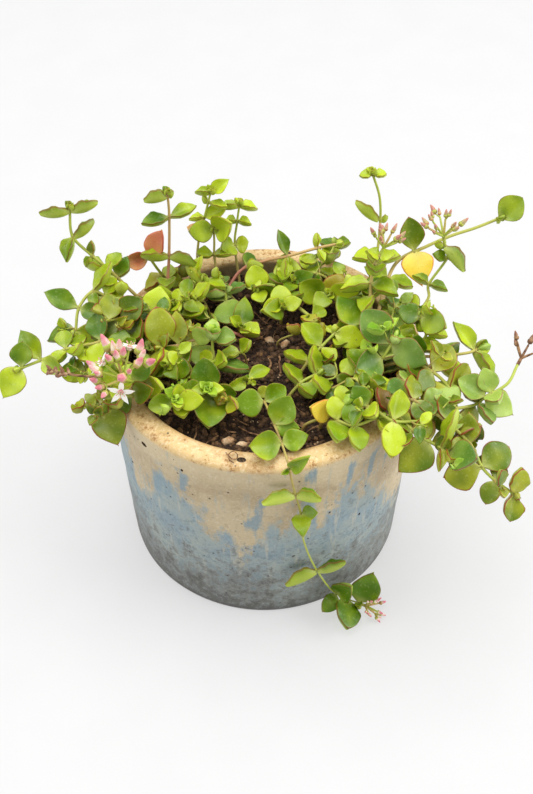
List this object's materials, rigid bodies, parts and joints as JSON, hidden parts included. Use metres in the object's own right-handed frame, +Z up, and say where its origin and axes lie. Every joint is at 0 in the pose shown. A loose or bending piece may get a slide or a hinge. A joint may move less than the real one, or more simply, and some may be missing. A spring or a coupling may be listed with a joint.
{
  "type": "potted trailing jade",
  "caption": "Round glazed stoneware pot filled with soil and a spreading small-leaved trailing jade, one stem hanging down its front.",
  "frame": {"origin": "centre of the pot's flat underside", "axes": "+Z up out of the pot's mouth, +X to the right and +Y away from the side that the trailing stem hangs down"},
  "size_m": [0.2004, 0.1296, 0.1384],
  "materials": {
    "stoneware": "unevenly glazed stoneware, beige above, pale blue and grey below, with pinholes",
    "potting_soil": "coarse dark potting soil with cream pumice chips",
    "green_leaf": "waxy green succulent leaves with thin reddish margins",
    "lime_leaf": "waxy bright yellow-green succulent leaves",
    "blue_green_leaf": "waxy blue-green succulent leaves with a pale bloom",
    "olive_leaf": "waxy olive succulent leaves with red-brown margins",
    "red_leaf": "waxy orange-red old succulent leaves",
    "yellow_leaf": "waxy yellow old succulent leaves",
    "dry_stalk": "dry brown stalk",
    "blossom": "small pinkish white buds and white star flowers"
  },
  "bodies": {
    "root": {"pot": "stoneware", "soil": "potting_soil", "stem_left_tall": "green_leaf", "stem_left_middle": "green_leaf", "stem_left_low": "green_leaf", "stem_left_bloom": "green_leaf", "stem_back_left_tall": "green_leaf", "stem_back_left_thin": "green_leaf", "stem_back_hearts": "green_leaf", "stem_back_small": "green_leaf", "stem_back_pink": "green_leaf", "stem_right_bloom_dark": "green_leaf", "stem_right_tall": "green_leaf", "stem_right_bloom_pale": "green_leaf", "stem_right_upright": "green_leaf", "stem_right_pointed": "green_leaf", "stem_right_inner_long": "green_leaf", "stem_front_right_pair": "green_leaf", "stem_front_left_dark": "green_leaf", "stem_centre_ovals": "green_leaf", "stem_back_upright": "green_leaf", "stem_back_narrow": "green_leaf", "stem_right_inner_round": "green_leaf", "stem_long_tan": "green_leaf", "stem_back_yellow_stem": "green_leaf", "stem_front_middle": "green_leaf", "stem_front_left_narrow": "green_leaf", "stem_right_shade": "green_leaf", "stem_left_inner": "green_leaf", "stem_left_outer": "green_leaf", "stem_front_trailing": "green_leaf", "stem_filler_1": "green_leaf", "stem_filler_2": "green_leaf", "stem_filler_3": "green_leaf", "stem_filler_4": "green_leaf", "stem_left_front": "olive_leaf", "stem_right_brown_edged": "olive_leaf", "stem_right_trailing": "olive_leaf", "stem_right_round": "olive_leaf", "stem_left_pink": "olive_leaf", "stem_left_edge": "olive_leaf", "stem_right_rosette": "blue_green_leaf", "stem_right_big_blue": "blue_green_leaf", "stem_centre_rosette": "blue_green_leaf", "stem_back_blue": "blue_green_leaf", "stem_front_right_round": "lime_leaf", "stem_front_left_rosette": "lime_leaf", "stem_left_big_round": "lime_leaf", "stem_back_lime_pair": "lime_leaf", "stem_centre_cupped": "lime_leaf", "stem_centre_pale": "lime_leaf", "stem_right_long": "yellow_leaf", "stem_front_yellow": "yellow_leaf", "stem_back_left_red": "red_leaf", "stem_dry_stalk": "dry_stalk", "left_bloom_head": "blossom", "right_dark_buds": "blossom", "right_pale_buds": "blossom", "front_trailing_buds": "blossom", "right_rosette_buds": "dry_stalk"}
  },
  "joints": []
}
